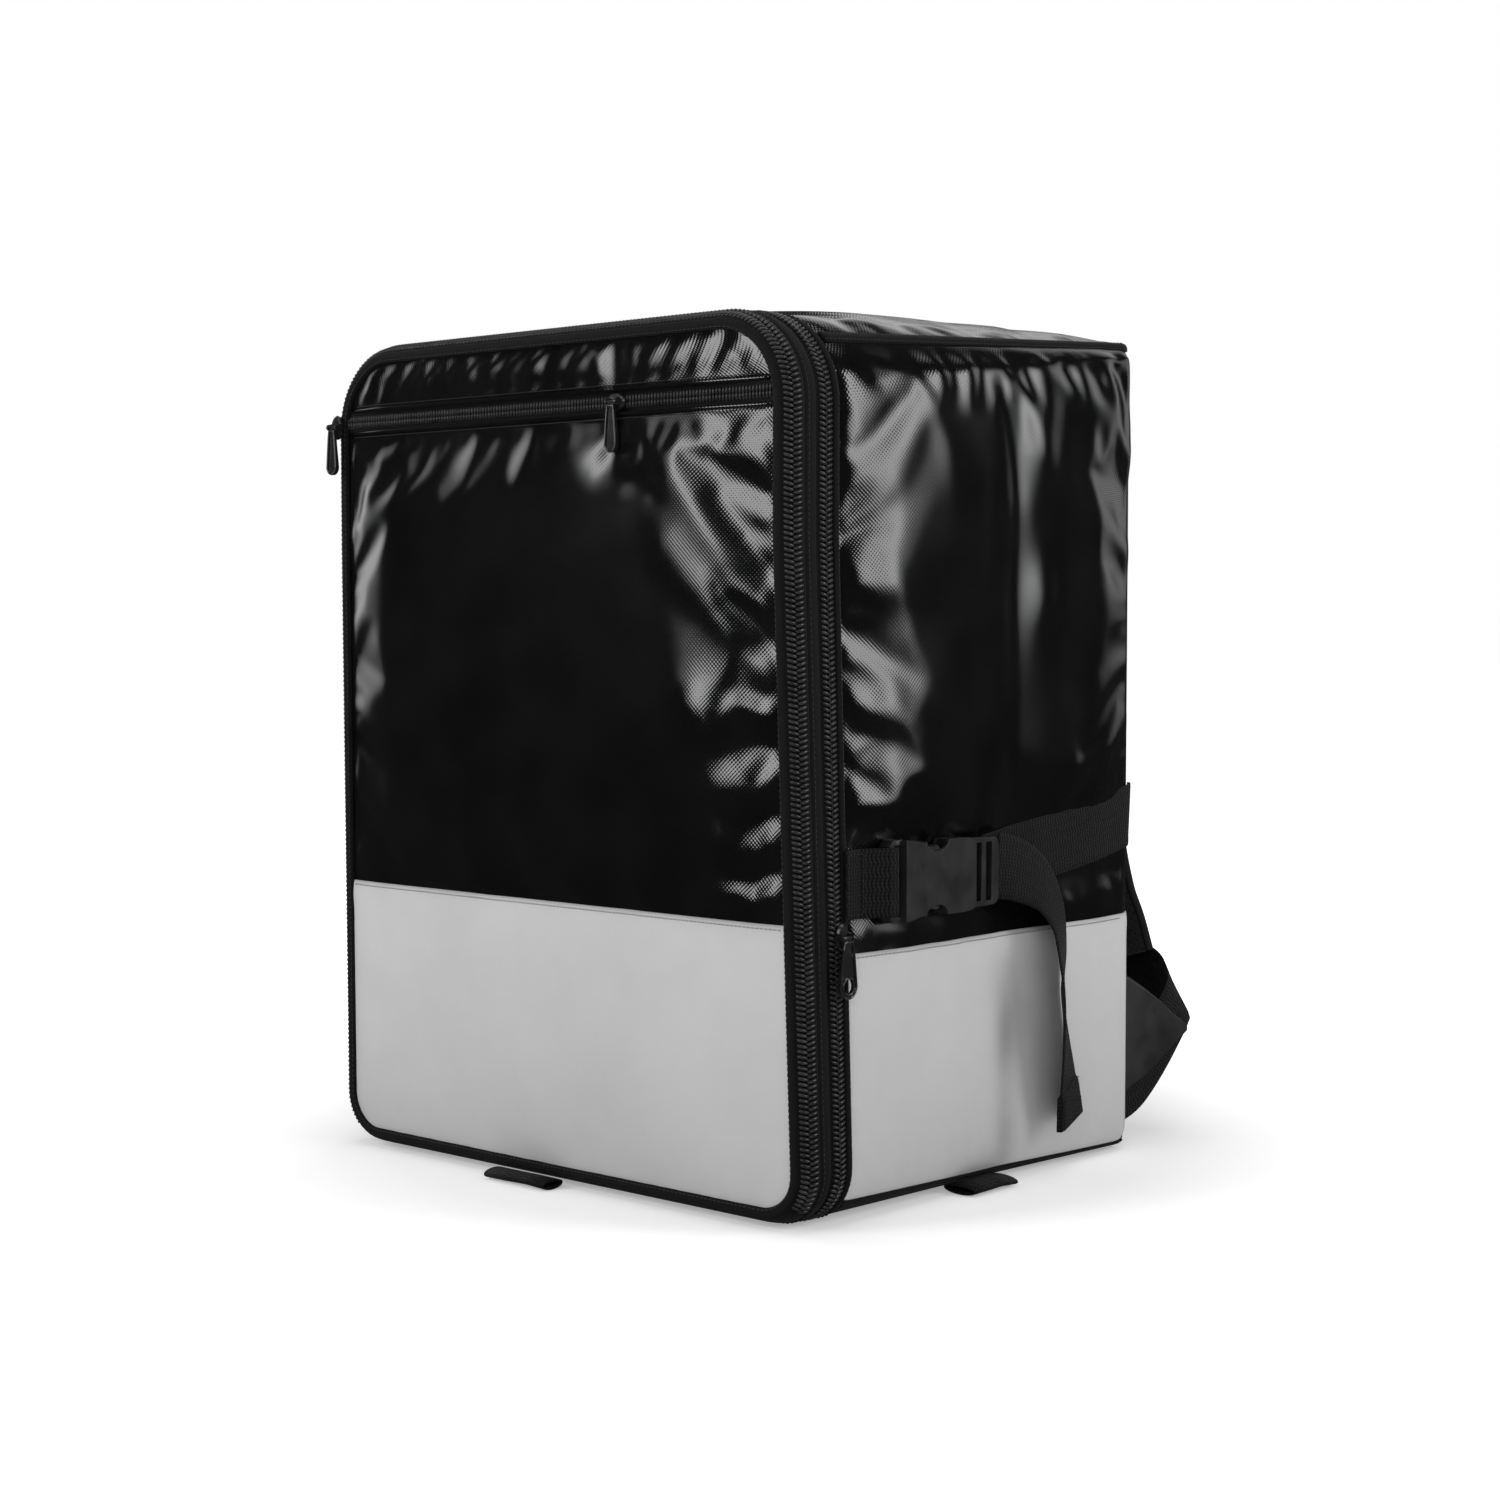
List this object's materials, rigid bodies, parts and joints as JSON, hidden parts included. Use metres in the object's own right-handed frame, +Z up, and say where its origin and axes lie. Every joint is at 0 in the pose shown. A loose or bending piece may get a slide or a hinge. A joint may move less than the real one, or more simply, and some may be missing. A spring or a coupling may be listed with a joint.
{
  "type": "insulated delivery backpack",
  "caption": "Box-shaped insulated delivery backpack in glossy black vinyl with a zipped padded door, reflective foot bands, side buckle straps and shoulder straps",
  "frame": {"origin": "Bottom centre of the whole bag's box, on the floor that it stands on.", "axes": "+Z up. The zipped door faces -Y and the wearer's back is at +Y. +X is the side with the expansion zip's slider. The main body and straps are symmetric about X = 0; the zip sliders and the front foot loop are not."},
  "size_m": [0.4288, 0.4202, 0.5083],
  "materials": {
    "vinyl": "glossy vinyl-coated woven fabric, black",
    "reflective": "matt grey reflective cloth",
    "tape": "matt black woven tape and zip coil",
    "webbing": "black ribbed webbing",
    "mesh": "black padded spacer mesh",
    "plastic": "satin black moulded plastic",
    "metal": "gloss black coated metal"
  },
  "bodies": {
    "bag": {"side_panel_right": "vinyl", "side_panel_left": "vinyl", "top_panel": "vinyl", "bottom_panel": "vinyl", "back_panel": "vinyl", "back_padding": "mesh", "door_panel": "vinyl", "door_binding": "tape", "door_zip": "tape", "door_hinge_strip": "tape", "gusset_band": "vinyl", "expansion_zip": "tape", "front_upper_strip": "vinyl", "pocket_zip": "tape", "pocket_panel": "vinyl", "front_band": "reflective", "side_band_right": "reflective", "side_band_left": "reflective", "top_seam_right": "tape", "top_seam_left": "tape", "front_webbing_right": "webbing", "front_webbing_left": "webbing", "rear_webbing_right": "webbing", "rear_webbing_left": "webbing", "strap_tail_right": "webbing", "strap_tail_left": "webbing", "buckle_female_right": "plastic", "buckle_female_left": "plastic", "buckle_male_right": "plastic", "buckle_male_left": "plastic", "shoulder_strap_right": "mesh", "shoulder_strap_left": "mesh", "foot_webbing_right": "webbing", "foot_webbing_left": "webbing", "corner_wing_right": "vinyl", "corner_wing_left": "vinyl", "front_loop": "webbing", "side_loop_right": "webbing", "side_loop_left": "webbing", "pocket_slider": "metal", "expansion_slider": "metal", "door_slider": "metal"},
    "pocket_tab": {"pocket_pull": "metal"},
    "expansion_tab": {"expansion_pull": "metal"},
    "door_tab": {"door_pull": "metal"}
  },
  "joints": [
    {"name": "pocket_pull_swing", "type": "hinge", "parent": "bag", "child": "pocket_tab", "pos_m": [0.06, -0.20516, 0.44575], "axis": [-1, 0, 0], "range_deg": [0, 160]},
    {"name": "expansion_pull_swing", "type": "hinge", "parent": "bag", "child": "expansion_tab", "pos_m": [0.19436, -0.16303, 0.157], "axis": [0, -1, 0], "range_deg": [0, 160]},
    {"name": "door_pull_swing", "type": "hinge", "parent": "bag", "child": "door_tab", "pos_m": [-0.1803, -0.20726, 0.443], "axis": [-1, 0, 0], "range_deg": [0, 160]}
  ]
}
